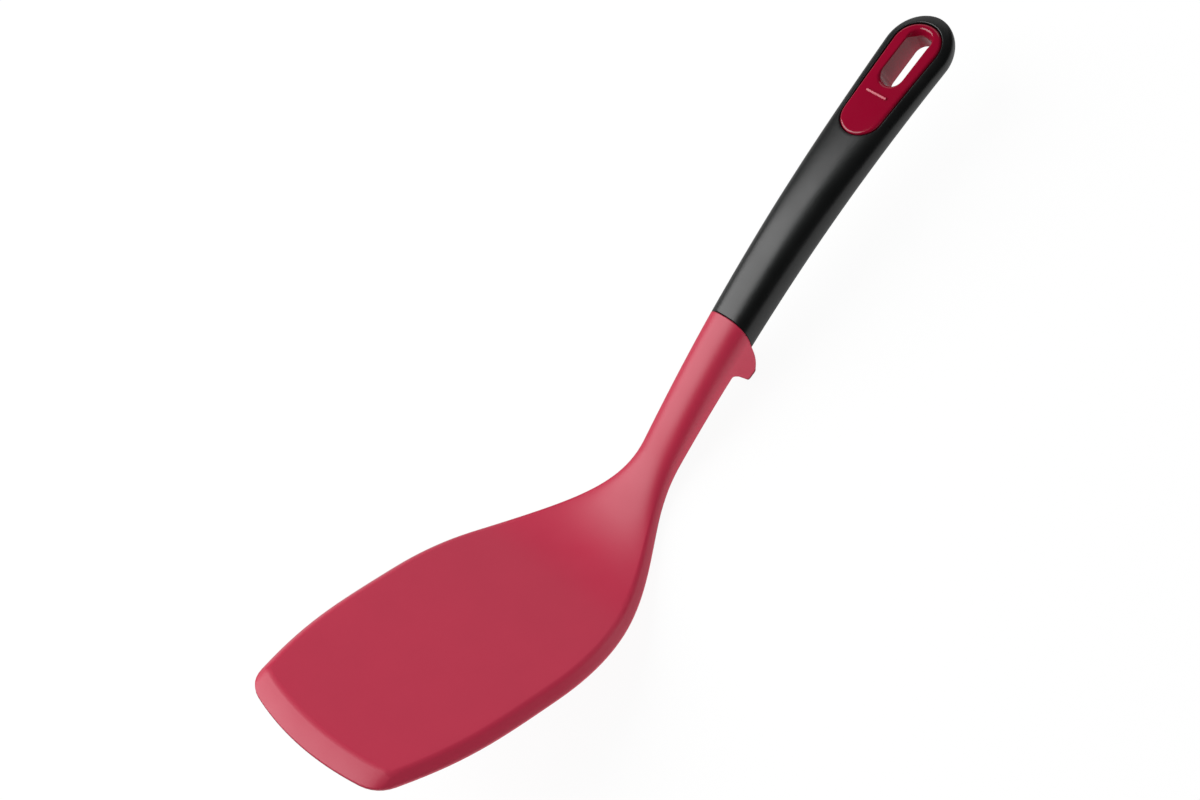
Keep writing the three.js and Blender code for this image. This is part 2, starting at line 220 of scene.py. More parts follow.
def centre_at(run):
    """Place along x, height and slope of the centre line."""
    x = 0.0
    z = 0.0
    slope = -REST_LEAN
    left = run
    for length, curvature in STRETCHES:
        step = min(left, length)
        turned = slope + curvature * step
        if curvature:
            x += (math.sin(turned) - math.sin(slope)) / curvature
            z += (math.cos(slope) - math.cos(turned)) / curvature
        else:
            x += step * math.cos(slope)
            z += step * math.sin(slope)
        slope = turned
        left -= step
    return x, z, slope


def place(run, y, up):
    """A point of the part's frame, in metres, from its run, its side and its height over the centre line."""
    x, z, slope = centre_at(run)
    return TIP + MM * Vector((x - up * math.sin(slope), y, z + up * math.cos(slope)))


def half_thickness_at(run):
    return lerp(BLADE_THICKNESS, GRIP_THICKNESS, smoothstep(run, BLADE_STRAIGHT, SEAM_TOP)) / 2


def stem_half_width_at(run):
    flare = max(0.0, (run - NECK_START) / (GRIP_END - NECK_START)) ** FLARE_POWER
    return lerp(NECK_HALF_WIDTH, GRIP_HALF_WIDTH, flare)


def oval_point(angle, half_width, top, under):
    """A point of the rounded section of the neck and the handle."""
    across = math.copysign(abs(math.cos(angle)) ** (2 / OVAL_POWER), math.cos(angle))
    up = abs(math.sin(angle)) ** (2 / OVAL_POWER)
    return half_width * across, top * up if math.sin(angle) > 0 else -under * up


def seam_round():
    """Distances inward and back of the steps of the seam's rounded edge, from the skin to the end face."""
    turns = [math.pi / 2 * step / SEAM_STEPS for step in range(SEAM_STEPS + 1)]
    return [(SEAM_EDGE * (1.0 - math.cos(turn)), SEAM_EDGE * (1.0 - math.sin(turn))) for turn in turns]


# Building of skins.
def extruded_skin(bm, loops):
    """A skin that starts as a circle and is extruded from loop to loop; gives the rows of vertices."""
    count = len(loops[0])
    row = list(bmesh.ops.create_circle(bm, segments=count, radius=MM)["verts"])
    rows = []
    for loop in loops:
        if rows:
            edges = [bm.edges.get((row[i - 1], row[i])) for i in range(count)]
            grown = bmesh.ops.extrude_edge_only(bm, edges=edges)["geom"]
            fresh = {item for item in grown if isinstance(item, bmesh.types.BMVert)}
            row = [next(e.other_vert(v) for e in v.link_edges if e.other_vert(v) in fresh) for v in row]
        for vert, point in zip(row, loop):
            vert.co = point
        rows.append(row)
    return rows


def rounded(bm, edges, size, segments):
    bmesh.ops.bevel(
        bm, geom=edges, offset=size * MM, offset_type='OFFSET', segments=segments,
        profile=0.5, affect='EDGES', clamp_overlap=True, material=-1,
    )


def finished_piece(name, bm, finish, node):
    """A welded mesh becomes a piece that rides on the root and stands for a CAD node."""
    bmesh.ops.remove_doubles(bm, verts=bm.verts, dist=WELD)
    bmesh.ops.recalc_face_normals(bm, faces=bm.faces)
    for face in bm.faces:
        face.smooth = True
    mesh = bpy.data.meshes.new(name)
    bm.to_mesh(mesh)
    bm.free()
    mesh.materials.append(finish)
    piece = bpy.data.objects.new(name, mesh)
    bpy.context.scene.collection.objects.link(piece)
    even_shading = piece.modifiers.new("even shading", 'WEIGHTED_NORMAL')
    even_shading.mode = 'FACE_AREA'
    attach(piece, "root")
    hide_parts(node)
    return piece


# Silicone head: half a section runs from the middle of the top over the lip to the middle of the underside.
FRONT_LAST = 10
TOP_LAST = 13
LIP_TOP = 16
LIP_MIDDLE = 17
HALF_LAST = 34
UNDER_INNER = 5
TOP_ANGLES = ((0, 90.0), (TOP_LAST, 24.0), (LIP_MIDDLE, 0.0))
UNDER_ANGLES = ((0, 90.0), (UNDER_INNER, 57.7), (TOP_LAST, 33.8), (LIP_TOP, 6.0))
UNDER_SPREAD = ((0, 0.0), (UNDER_INNER, 0.6), (TOP_LAST, 0.86), (LIP_TOP, 1.0))
RIDGE_CORNERS = (TOP_LAST, -TOP_LAST)
LIP_CORNERS = (LIP_TOP, -LIP_TOP, HALF_LAST - LIP_TOP, LIP_TOP - HALF_LAST)


def blade_point(index, half_width, half):
    """A point of the flat blade: a bevelled top over a thin lip and a flat underside."""
    if index <= TOP_LAST:
        return (half_width - SIDE_BEVEL) * index / TOP_LAST, half
    if index <= LIP_TOP:
        share = (index - TOP_LAST) / (LIP_TOP - TOP_LAST)
        return half_width - SIDE_BEVEL * (1.0 - share), lerp(half, LIP_HEIGHT - half, share)
    if index == LIP_MIDDLE:
        return half_width, LIP_HEIGHT / 2 - half
    return half_width * ramp(HALF_LAST - index, UNDER_SPREAD), -half


def neck_point(index, half_width, half):
    """A point of the oval neck."""
    if index <= LIP_MIDDLE:
        angle = ramp(index, TOP_ANGLES)
    else:
        angle = -ramp(HALF_LAST - index, UNDER_ANGLES)
    return oval_point(math.radians(angle), half_width, half, half)


def head_half_section(run, half_width):
    """Sides and heights of half a section, which turns from the blade's into the neck's."""
    half = half_thickness_at(run)
    share = smoothstep(run, BEVEL_ENDS, NECK_START)
    points = []
    for index in range(HALF_LAST + 1):
        flat = Vector(blade_point(index, half_width, half))
        points.append(flat.lerp(Vector(neck_point(index, half_width, half)), share))
    return points


def mirrored(half_loop):
    """A whole loop from its half at positive y."""
    return half_loop + [Vector((p.x, -p.y, p.z)) for p in half_loop[-2:0:-1]]


def tip_outline(index):
    """Run and side of the tip's edge: a bowed front with rounded corners."""
    front_half = TIP_HALF_WIDTH - CORNER_ROUND
    step = min(index, HALF_LAST - index)
    if step <= FRONT_LAST:
        side = front_half * step / FRONT_LAST
        return TIP_BOW * (side / TIP_HALF_WIDTH) ** 2, side
    share = min((step - FRONT_LAST) / (LIP_TOP - FRONT_LAST), 1.0)
    start = Vector((TIP_BOW * (front_half / TIP_HALF_WIDTH) ** 2, front_half))
    corner = Vector((TIP_BOW, TIP_HALF_WIDTH))
    end = corner + CORNER_ROUND * Vector((math.cos(SIDE_SPLAY), math.sin(SIDE_SPLAY)))
    return bent(start, corner, end, share)


def tip_loop(lip_share):
    """A loop on the lip of the tip, whose height shrinks to nothing with the share."""
    half = BLADE_THICKNESS / 2
    loop = []
    for index in range(HALF_LAST + 1):
        run, side = tip_outline(index)
        height = LIP_HEIGHT / 2
        if index != LIP_MIDDLE:
            height += math.copysign(LIP_HEIGHT / 2 * lip_share, LIP_MIDDLE - index)
        loop.append(place(run, side, height - half))
    return mirrored(loop)


def blade_stations():
    """Runs and half widths from the front bevel to the neck."""
    start = Vector((TIP_BOW + FRONT_BEVEL, TIP_HALF_WIDTH + FRONT_BEVEL * math.tan(SIDE_SPLAY)))
    reach = (WIDEST_AT - start.x) * SIDE_EASE
    splay = Vector((math.cos(SIDE_SPLAY), math.sin(SIDE_SPLAY)))
    widest = Vector((WIDEST_AT, BLADE_HALF_WIDTH))
    along = Vector((1.0, 0.0))
    neck = Vector((NECK_START, NECK_HALF_WIDTH))
    side = interpolate_bezier(
        start, start + reach * splay, widest - reach * along, widest, BLADE_SIDE_LOOPS)
    shoulder = interpolate_bezier(
        widest, widest + SHOULDER_REACH * along, neck - NECK_REACH * along, neck, SHOULDER_LOOPS)
    return side[:-1] + shoulder


def blade_loop(run, half_width):
    """A loop of the blade or the neck, which bulges forward by the tip."""
    bulge = TIP_BOW * (1.0 - smoothstep(run, TIP_BOW + FRONT_BEVEL, WIDEST_AT))
    loop = []
    for side, up in head_half_section(run, half_width):
        loop.append(place(run - bulge * (1.0 - (side / half_width) ** 2), side, up))
    return mirrored(loop)


def foot_profile():
    """Points of the foot's side view from its front fillet over the pad to the seam."""
    under = -half_thickness_at(FOOT_FRONT)
    start = place(FOOT_FRONT - FOOT_FILLET, 0.0, under)
    root = place(FOOT_FRONT, 0.0, under)
    root_end = place(FOOT_FRONT, 0.0, under - FOOT_FILLET)
    down = (root_end - root).normalized()
    pad_front = root_end + down * (root_end.z / -down.z)
    pad_back = pad_front + Vector((FOOT_PAD * MM, 0.0, 0.0))
    back_top = place(SEAM_UNDER, 0.0, -GRIP_THICKNESS / 2)
    rise = back_top - pad_back
    bow = Vector((rise.z, 0.0, -rise.x)).normalized() * FOOT_BOW * MM
    edge = FOOT_EDGE * MM
    along = Vector((edge, 0.0, 0.0))
    wall_end = pad_front - down * edge
    back_start = pad_back + rise.normalized() * edge
    points = rounded_corner(start, root, root_end, FOOT_FILLET_LOOPS)
    points += [root_end.lerp(wall_end, share) for share in FOOT_WALL_SHARES]
    points += rounded_corner(wall_end, pad_front, pad_front + along, FOOT_EDGE_LOOPS)
    points += rounded_corner(pad_back - along, pad_back, back_start, FOOT_EDGE_LOOPS)
    bowed = [back_start.lerp(back_top, share) + bow for share in FOOT_BOW_SHARES]
    back = interpolate_bezier(back_start, *bowed, back_top, FOOT_BACK_LOOPS)
    return points + back[1:]


def foot_loops():
    """Neck loops from the front of the foot to the seam, whose middle is drawn down to the foot."""
    profile = foot_profile()
    root = place(FOOT_FRONT, 0.0, -half_thickness_at(FOOT_FRONT))
    slope = centre_at(FOOT_FRONT)[2]

    def run_over(point):
        return FOOT_FRONT + (point.x - root.x) / MM / math.cos(slope)

    last = run_over(profile[-1])
    loops = []
    for number, foot in enumerate(profile):
        share = number / (len(profile) - 1)
        base = run_over(foot) + (SEAM_UNDER - last) * share
        lean = SEAM_TILT * smoothstep(share, 0.0, 1.0)
        run = base + GRIP_THICKNESS * lean
        half = half_thickness_at(run)
        width = stem_half_width_at(run)
        middle = base + half * lean
        centre = place(middle, 0.0, 0.0)
        drop = foot - centre
        fullness = smoothstep(drop.length / MM - half, 0.0, FOOT_FILLET)
        power = lerp(OVAL_POWER, FOOT_POWER, fullness)
        loop = []
        for index in range(LIP_MIDDLE + 1):
            side, up = neck_point(index, width, half)
            loop.append(place(middle + up * lean, side, up))
        for index in range(LIP_TOP, -1, -1):
            angle = math.radians(ramp(index, UNDER_ANGLES))
            down = math.sin(angle) ** (2 / power)
            side = math.cos(angle) ** (2 / power) * lerp(width, FOOT_HALF_WIDTH, fullness * down)
            loop.append(centre + drop * down + Vector((0.0, side * MM, 0.0)))
        loops.append(mirrored(loop))
    return loops


def seam_loop(inset, back):
    """A loop of the head's end, drawn in from the skin and back from the seam."""
    half = GRIP_THICKNESS / 2
    width = stem_half_width_at(SEAM_TOP)
    loop = []
    for index in range(HALF_LAST + 1):
        side, up = neck_point(index, width - inset, half - inset)
        loop.append(place(SEAM_TOP - (half - up) * SEAM_TILT - back, side, up))
    return mirrored(loop)


def silicone_head(finish):
    stations = blade_stations()
    loops = [tip_loop(0.0), tip_loop(1.0)]
    first_station = len(loops)
    loops += [blade_loop(run, half_width) for run, half_width in stations]
    plain_end = FOOT_FRONT - FOOT_FILLET
    for number in range(1, NECK_LOOPS):
        run = lerp(NECK_START, plain_end, number / NECK_LOOPS)
        loops.append(blade_loop(run, stem_half_width_at(run)))
    loops += foot_loops()[:-1]
    loops += [seam_loop(inset, back) for inset, back in seam_round()]
    loops.append(seam_loop(GRIP_THICKNESS / 2, 0.0))
    bm = bmesh.new()
    rows = extruded_skin(bm, loops)
    lip_row = first_station - 1

    def around(row, index):
        return bm.edges.get((rows[row][index], rows[row][index + 1]))

    def along(row, index):
        return bm.edges.get((rows[row][index], rows[row + 1][index]))

    lips = [around(lip_row, index) for index in range(-len(rows[lip_row]), 0)]
    ridge = [around(first_station, index) for index in range(-TOP_LAST, TOP_LAST)]
    for row, station in enumerate(stations[:-1], start=first_station):
        if station.x < BEVEL_ENDS + EDGES_PAST_BEVEL:
            lips += [along(row, index) for index in LIP_CORNERS]
            ridge += [along(row, index) for index in RIDGE_CORNERS]
    lips += [along(lip_row, index) for index in LIP_CORNERS]
    rounded(bm, ridge, RIDGE_EDGE, RIDGE_SEGMENTS)
    rounded(bm, lips, BLADE_LIP_EDGE, BLADE_LIP_SEGMENTS)
    return finished_piece("silicone_head_skin", bm, finish, "silicone_head")


# Grip: a tube from the seam, joined to an eye whose strips run round the insert's pocket.
UPWARD = 1.0
DOWNWARD = -1.0


def handle_top_at(run):
    return lerp(GRIP_THICKNESS / 2, END_TOP, smoothstep(run, SEAM_TOP + PLAIN_LENGTH, CENTRE_LENGTH))


def handle_under_at(run):
    return lerp(GRIP_THICKNESS / 2, END_UNDER, smoothstep(run, SEAM_TOP + PLAIN_LENGTH, CENTRE_LENGTH))


def end_depth_at(run):
    """Share of the handle's rounded end that a run has passed."""
    return min(max((run - GRIP_END) / END_ROUND, 0.0), 1.0)


def end_share_at(run):
    """How much of the handle's height is left past the start of its rounded end."""
    depth = end_depth_at(run)
    return (1.0 - END_THINNING * depth ** 2) * (1.0 - depth ** END_CLOSING) ** END_SOFTNESS


def grip_half_width_at(run):
    return stem_half_width_at(min(run, GRIP_END)) * math.sqrt(1.0 - end_depth_at(run) ** 2)


def skin_height(run, side, height, power):
    """Height of a crowned skin over the centre line, from its height in the middle."""
    half_width = grip_half_width_at(run)
    share = min(abs(side) / half_width, 1.0) if half_width > 0.0 else 1.0
    return height * end_share_at(run) * (1.0 - share ** power) ** (1.0 / power)


def grip_top(run, side):
    return skin_height(run, side, handle_top_at(run), OVAL_POWER)


def grip_under(run, side):
    return -skin_height(run, side, handle_under_at(run), OVAL_POWER)


def insert_face(run, side):
    """Height of the insert's face, which stands a little proud at its lower end."""
    lift = INSERT_LIFT * max(0.0, (SLOT_LOWER - run) / (SLOT_LOWER - INSERT_LOWER)) ** 2
    return skin_height(run, side, handle_top_at(run), INSERT_POWER) - INSERT_DROP + lift


def liner_end(run, side):
    return grip_under(run, side) + LINER_RECESS


def level(height):
    """A surface at one height over the centre line."""
    return lambda run, side: height


def tapered_slot(start, end, start_half, end_half):
    """Outline with two round ends; each side has its set number of steps, so that outlines can be joined."""
    first = start + start_half
    second = end - end_half
    quarter = math.pi / 2 + math.asin((end_half - start_half) / (second - first))
    lower = []
    for step in range(RING_HALF + 1):
        angle = lerp(quarter, 2 * math.pi - quarter, step / RING_HALF)
        lower.append(Vector((first + start_half * math.cos(angle), start_half * math.sin(angle))))
    upper = []
    for step in range(END_STEPS + 1):
        angle = lerp(-quarter, quarter, step / END_STEPS)
        upper.append(Vector((second + end_half * math.cos(angle), end_half * math.sin(angle))))
    right = [lower[-1].lerp(upper[0], step / SIDE_STEPS) for step in range(SIDE_STEPS)]
    left = [upper[-1].lerp(lower[0], step / SIDE_STEPS) for step in range(SIDE_STEPS)]
    return lower[:-1] + right + upper[:-1] + left


def insert_outline(grow):
    return tapered_slot(INSERT_LOWER - grow, INSERT_UPPER + grow,
                        INSERT_LOWER_HALF + grow, INSERT_UPPER_HALF + grow)


def slot_outline(grow):
    return tapered_slot(SLOT_LOWER - grow, SLOT_UPPER + grow, SLOT_HALF + grow, SLOT_HALF + grow)


def pocket_outline(grow):
    return insert_outline(INSERT_FIT + grow)


def liner_hole_outline(grow):
    return slot_outline(LINER_WALL + INSERT_FIT + grow)


def eye_border(upper):
    """Border of the eye's upper or lower strip: the section at the tube, the sides and the round end."""
    turn = math.pi if upper else -math.pi
    width = grip_half_width_at(EYE_JOIN)
    section = []
    for step in range(RING_HALF):
        angle = turn * step / RING_HALF
        section.append(Vector((EYE_JOIN, oval_point(angle, width, 1.0, 1.0)[0])))
    right = []
    left = []
    for step in range(SIDE_STEPS):
        run = lerp(EYE_JOIN, GRIP_END, step / SIDE_STEPS)
        back = lerp(GRIP_END, EYE_JOIN, step / SIDE_STEPS)
        right.append(Vector((run, -grip_half_width_at(run))))
        left.append(Vector((back, grip_half_width_at(back))))
    end = []
    for step in range(END_STEPS):
        angle = lerp(-math.pi / 2, math.pi / 2, step / END_STEPS)
        end.append(Vector((GRIP_END + END_ROUND * math.cos(angle), GRIP_HALF_WIDTH * math.sin(angle))))
    return section + right + end + left


def laid(outline, height):
    """An outline laid on a surface whose height is a function of run and side."""
    return [place(run, side, height(run, side)) for run, side in outline]


def strip(inner, outer, height):
    """Loops from an inner outline to an outer border, closer together at the border."""
    loops = []
    for number in range(1, STRIP_LOOPS + 1):
        share = math.sin(math.pi / 2 * number / STRIP_LOOPS)
        loops.append(laid([a.lerp(b, share) for a, b in zip(inner, outer)], height))
    return loops


def rim_loops(outline_at, size, height, facing):
    """Loops of a rounded rim from a wall to the surface it meets, which faces upward or downward."""
    loops = []
    for step in range(RIM_STEPS + 1):
        angle = math.pi / 2 * step / RIM_STEPS
        depth = size * (1.0 - math.sin(angle)) * facing
        outline = outline_at(size * (1.0 - math.cos(angle)))
        loops.append([place(run, side, height(run, side) - depth) for run, side in outline])
    return loops


def tube_loop(run, lean, inset):
    """A loop of the grip's tube, leaning like the seam and drawn in from the skin."""
    width = grip_half_width_at(run) - inset
    top = handle_top_at(run) - inset
    under = handle_under_at(run) - inset
    loop = []
    for step in range(2 * RING_HALF):
        side, up = oval_point(math.pi * step / RING_HALF, width, top, under)
        loop.append(place(run - (GRIP_THICKNESS / 2 - up) * lean, side, up))
    return loop


def handle_grip(finish):
    bm = bmesh.new()
    start = SEAM_TOP + SEAM_GAP
    tube = [tube_loop(start, SEAM_TILT, GRIP_THICKNESS / 2)]
    tube += [tube_loop(start + back, SEAM_TILT, inset) for inset, back in reversed(seam_round())]
    for number in range(1, TUBE_LOOPS + 1):
        share = number / TUBE_LOOPS
        run = lerp(start + SEAM_EDGE, EYE_JOIN, share)
        tube.append(tube_loop(run, SEAM_TILT * (1.0 - smoothstep(share, 0.0, LEAN_ENDS)), 0.0))
    extruded_skin(bm, tube)
    eye = strip(liner_hole_outline(GRIP_RIM_EDGE), eye_border(upper=False), grip_under)[::-1]
    eye += rim_loops(liner_hole_outline, GRIP_RIM_EDGE, grip_under, DOWNWARD)[::-1]
    eye.append(laid(liner_hole_outline(0.0), level(POCKET_FLOOR)))
    eye.append(laid(pocket_outline(0.0), level(POCKET_FLOOR)))
    eye += rim_loops(pocket_outline, GRIP_RIM_EDGE, grip_top, UPWARD)
    eye += strip(pocket_outline(GRIP_RIM_EDGE), eye_border(upper=True), grip_top)
    extruded_skin(bm, eye)
    return finished_piece("handle_grip_skin", bm, finish, "handle_grip")


def slot_lip():
    """Points of the slot's outline with their ways outward and their shares of the two lips."""
    upper_start = RING_HALF + SIDE_STEPS
    lip = []
    for number, (near, far) in enumerate(zip(slot_outline(0.0), slot_outline(1.0))):
        lower_turn = min(number / RING_HALF, 1.0)
        upper_turn = min(max((number - upper_start) / END_STEPS, 0.0), 1.0)
        upper = smoothstep(math.sin(math.pi * upper_turn), 0.0, 1.0)
        lower = smoothstep(math.sin(math.pi * lower_turn), 0.0, 1.0)
        lip.append((near, far - near, upper, lower))
    return lip


def slot_lip_section(upper, lower):
    """Distances outward and upward along the lip: a slope between two rounded corners."""
    size = SLOT_EDGE + SLOT_LIP_ROUND * upper + SLOT_LOWER_LIP / 2 * lower
    wall = Vector((0.0, -SLOT_EDGE - SLOT_LIP_DEPTH * upper - SLOT_LOWER_LIP * lower))
    face = Vector((SLOT_EDGE + SLOT_LIP_REACH * upper + SLOT_LOWER_LIP * lower, 0.0))
    along = (face - wall).normalized() * min(size, (face - wall).length / 2)
    shares = [step / SLOT_LIP_STEPS for step in range(SLOT_LIP_STEPS + 1)]
    section = [bent(wall - Vector((0.0, size)), wall, wall + along, share) for share in shares]
    section += [bent(face - along, face, face + Vector((size, 0.0)), share) for share in shares]
    return section


def slot_lip_outlines():
    """Outlines of the lip from the slot's wall to the insert's face, as points with their depths."""
    columns = []
    for near, outward, upper, lower in slot_lip():
        columns.append([(near + outward * out, up) for out, up in slot_lip_section(upper, lower)])
    return list(zip(*columns))


def hang_insert(finish):
    liner = slot_outline(LINER_WALL)
    loops = [laid(liner, liner_end)]
    loops += rim_loops(slot_outline, SLOT_UNDER_EDGE, liner_end, DOWNWARD)[::-1]
    lip_outlines = slot_lip_outlines()
    for outline in lip_outlines:
        loops.append([place(*spot, insert_face(*spot) + up) for spot, up in outline])
    rim_outline = [spot for spot, up in lip_outlines[-1]]
    edge_outline = insert_outline(-INSERT_EDGE)
    for number in range(1, INSERT_FACE_LOOPS + 1):
        share = number / INSERT_FACE_LOOPS
        loops.append(laid([a.lerp(b, share) for a, b in zip(rim_outline, edge_outline)], insert_face))
    for step in range(1, INSERT_EDGE_STEPS + 1):
        angle = math.pi / 2 * step / INSERT_EDGE_STEPS
        depth = INSERT_EDGE * (1.0 - math.cos(angle))
        outline = insert_outline(INSERT_EDGE * (math.sin(angle) - 1.0))
        loops.append([place(*spot, insert_face(*spot) - depth) for spot in outline])
    loops.append(laid(insert_outline(0.0), level(INSERT_FLOOR)))
    loops.append(laid(liner, level(INSERT_FLOOR)))
    loops.append(laid(liner, liner_end))
    bm = bmesh.new()
    extruded_skin(bm, loops)
    return finished_piece("hang_insert_skin", bm, finish, "hang_insert")


def insert_bar(finish):
    """The thin raised bar across the insert's face."""
    bm = bmesh.new()
    bmesh.ops.create_cube(bm, size=1.0)
    size = MM * Vector((BAR_WIDTH, BAR_LENGTH, BAR_HEIGHT + BAR_ROOT))
    bmesh.ops.scale(bm, vec=size, verts=bm.verts)
    uprights = [e for e in bm.edges if abs(e.verts[0].co.z - e.verts[1].co.z) > WELD]
    rounded(bm, uprights, BAR_END_ROUND, BAR_SEGMENTS)
    tops = [e for e in bm.edges if min(v.co.z for v in e.verts) > WELD]
    rounded(bm, tops, BAR_TOP_ROUND, BAR_SEGMENTS)
    face = insert_face(BAR_AT, 0.0)
    centre = place(BAR_AT, 0.0, face + (BAR_HEIGHT - BAR_ROOT) / 2)
    ahead = (place(BAR_AT + BAR_SLOPE_STEP, 0.0, face) - place(BAR_AT, 0.0, face)).normalized()
    across = Vector((0.0, 1.0, 0.0))
    turn = Matrix((ahead, across, ahead.cross(across))).transposed().to_4x4()
    tilt = Matrix.Rotation(-BAR_TILT, 4, 'Y')
    bmesh.ops.transform(bm, matrix=Matrix.Translation(centre) @ turn @ tilt, verts=bm.verts)
    return finished_piece("insert_bar", bm, finish, "hang_insert")


# Finishes.
GRAIN_DETAIL = 3.0
GRAIN_HARSHNESS = 0.6
SMUDGE_SIZE = 0.012
SMUDGE_DETAIL = 4.0
SMUDGE_LOW = 0.3
SMUDGE_HIGH = 0.7
CLOUD_SIZE = 0.02
CLOUD_DETAIL = 5.0


def group_with(name, inputs, outputs):
    """A shader group with named sockets; gives the group with its input and output nodes."""
    group = bpy.data.node_groups.new(name, 'ShaderNodeTree')
    for label, kind in inputs:
        group.interface.new_socket(name=label, in_out='INPUT', socket_type=kind)
    for label, kind in outputs:
        group.interface.new_socket(name=label, in_out='OUTPUT', socket_type=kind)
    return group, group.nodes.new('NodeGroupInput'), group.nodes.new('NodeGroupOutput')


def sized_noise(group, size, detail):
    """A noise on Object coordinates whose spots have the size, in metres, that a socket gives."""
    spot = group.nodes.new('ShaderNodeTexCoord')
    scale = group.nodes.new('ShaderNodeMath')
    scale.operation = 'DIVIDE'
    scale.inputs[0].default_value = 1.0
    noise = group.nodes.new('ShaderNodeTexNoise')
    noise.inputs['Detail'].default_value = detail
    group.links.new(size, scale.inputs[1])
    group.links.new(scale.outputs[0], noise.inputs['Scale'])
    group.links.new(spot.outputs['Object'], noise.inputs['Vector'])
    return noise


def moulded_skin_group():
    """Fine grain and soft smudges of a moulded surface."""
    group, given, made = group_with(
        "Moulded skin",
        (("Grain Size", 'NodeSocketFloat'), ("Smudge Size", 'NodeSocketFloat'),
         ("Polished", 'NodeSocketFloat'), ("Dull", 'NodeSocketFloat')),
        (("Grain", 'NodeSocketFloat'), ("Roughness", 'NodeSocketFloat')),
    )
    links = group.links
    grain = sized_noise(group, given.outputs["Grain Size"], GRAIN_DETAIL)
    grain.inputs['Roughness'].default_value = GRAIN_HARSHNESS
    smudge = sized_noise(group, given.outputs["Smudge Size"], SMUDGE_DETAIL)
    spread = group.nodes.new('ShaderNodeMapRange')
    spread.inputs['From Min'].default_value = SMUDGE_LOW
    spread.inputs['From Max'].default_value = SMUDGE_HIGH
    links.new(smudge.outputs['Fac'], spread.inputs['Value'])
    links.new(given.outputs["Polished"], spread.inputs['To Min'])
    links.new(given.outputs["Dull"], spread.inputs['To Max'])
    links.new(grain.outputs['Fac'], made.inputs["Grain"])
    links.new(spread.outputs['Result'], made.inputs["Roughness"])
    return group


def pigment_group():
    """Slight cloudiness of the colour of a dyed plastic."""
    group, given, made = group_with(
        "Pigment",
        (("Deep", 'NodeSocketColor'), ("Light", 'NodeSocketColor'), ("Cloud Size", 'NodeSocketFloat')),
        (("Color", 'NodeSocketColor'),),
    )
    links = group.links
    cloud = sized_noise(group, given.outputs["Cloud Size"], CLOUD_DETAIL)
    mix = group.nodes.new('ShaderNodeMix')
    mix.data_type = 'RGBA'
    links.new(cloud.outputs['Fac'], mix.inputs['Factor'])
    links.new(given.outputs["Deep"], mix.inputs['A'])
    links.new(given.outputs["Light"], mix.inputs['B'])
    links.new(mix.outputs['Result'], made.inputs["Color"])
    return group


MOULDED_SKIN = moulded_skin_group()
PIGMENT = pigment_group()


def moulded_finish(name, deep, light, polished, dull, grain_size, grain_height):
    """A moulded finish: cloudy pigment, smudged roughness and a fine grain; its grain is in metres."""
    finish = bpy.data.materials.new(name)
    finish.use_nodes = True
    nodes = finish.node_tree.nodes
    links = finish.node_tree.links
    shader = nodes["Principled BSDF"]
    skin = nodes.new('ShaderNodeGroup')
    skin.node_tree = MOULDED_SKIN
    skin.inputs["Grain Size"].default_value = grain_size
    skin.inputs["Smudge Size"].default_value = SMUDGE_SIZE
    skin.inputs["Polished"].default_value = polished
    skin.inputs["Dull"].default_value = dull
    pigment = nodes.new('ShaderNodeGroup')
    pigment.node_tree = PIGMENT
    pigment.inputs["Deep"].default_value = (*deep, 1.0)
    pigment.inputs["Light"].default_value = (*light, 1.0)
    pigment.inputs["Cloud Size"].default_value = CLOUD_SIZE
    bump = nodes.new('ShaderNodeBump')
    bump.inputs['Distance'].default_value = grain_height
    links.new(pigment.outputs["Color"], shader.inputs['Base Color'])
    links.new(skin.outputs["Roughness"], shader.inputs['Roughness'])
    links.new(skin.outputs["Grain"], bump.inputs['Height'])
    links.new(bump.outputs['Normal'], shader.inputs['Normal'])
    return finish


crimson_silicone = moulded_finish(
    "crimson silicone", deep=(0.375, 0.009, 0.04), light=(0.415, 0.0115, 0.045),
    polished=0.40, dull=0.45, grain_size=0.0006, grain_height=0.00001)
soft_black = moulded_finish(
    "soft black grip", deep=(0.0035, 0.004, 0.004), light=(0.0055, 0.006, 0.006),
    polished=0.30, dull=0.37, grain_size=0.0005, grain_height=0.000025)
glossy_crimson = moulded_finish(
    "glossy crimson insert", deep=(0.207, 0.0022, 0.0165), light=(0.233, 0.0027, 0.021),
    polished=0.07, dull=0.11, grain_size=0.0008, grain_height=0.000002)
# The bar is moulded in the insert's own crimson plastic. The lighter crimson here is a painted highlight
# that copies the bright line of light along its ridge.
painted_highlight_crimson = moulded_finish(
    "crimson bar with painted highlight", deep=(0.345, 0.008, 0.035), light=(0.37, 0.0095, 0.038),
    polished=0.20, dull=0.26, grain_size=0.0008, grain_height=0.000002)
grey_nylon = moulded_finish(
    "grey nylon core", deep=(0.18, 0.18, 0.18), light=(0.22, 0.22, 0.22),
    polished=0.45, dull=0.6, grain_size=0.0007, grain_height=0.00001)
black_plastic = moulded_finish(
    "black handle core", deep=(0.02, 0.02, 0.02), light=(0.03, 0.03, 0.03),
    polished=0.4, dull=0.5, grain_size=0.0007, grain_height=0.00001)

silicone_head(crimson_silicone)
handle_grip(soft_black)
hang_insert(glossy_crimson)
insert_bar(painted_highlight_crimson)

for node, finish in (("head_core", grey_nylon), ("handle_core", black_plastic)):
    mesh = bpy.data.objects[node].data
    mesh.materials.clear()
    mesh.materials.append(finish)

# Studio, in metres: a white floor and backdrop, a large soft lamp behind on the left and a weak one behind
# on the right. Two cards lie on the floor on the near side: a weak one shows in the object's gloss, and a
# stronger one only lights it.
FLOOR_REACH = 6.0
SHADOW_SHARE = 0.06
SHADOW_TONE = 0.85
BOUNCE_TONE = 0.5
MIRRORED_TONE = 0.35
MIRRORED_WHITE = 0.1
AMBIENT = 0.45
LOW_CARD_SIDE = -0.328
LOW_CARD_LENGTH = 0.8
LOW_CARD_WIDTH = 0.64


def grey(tone):
    return tone, tone, tone, 1.0


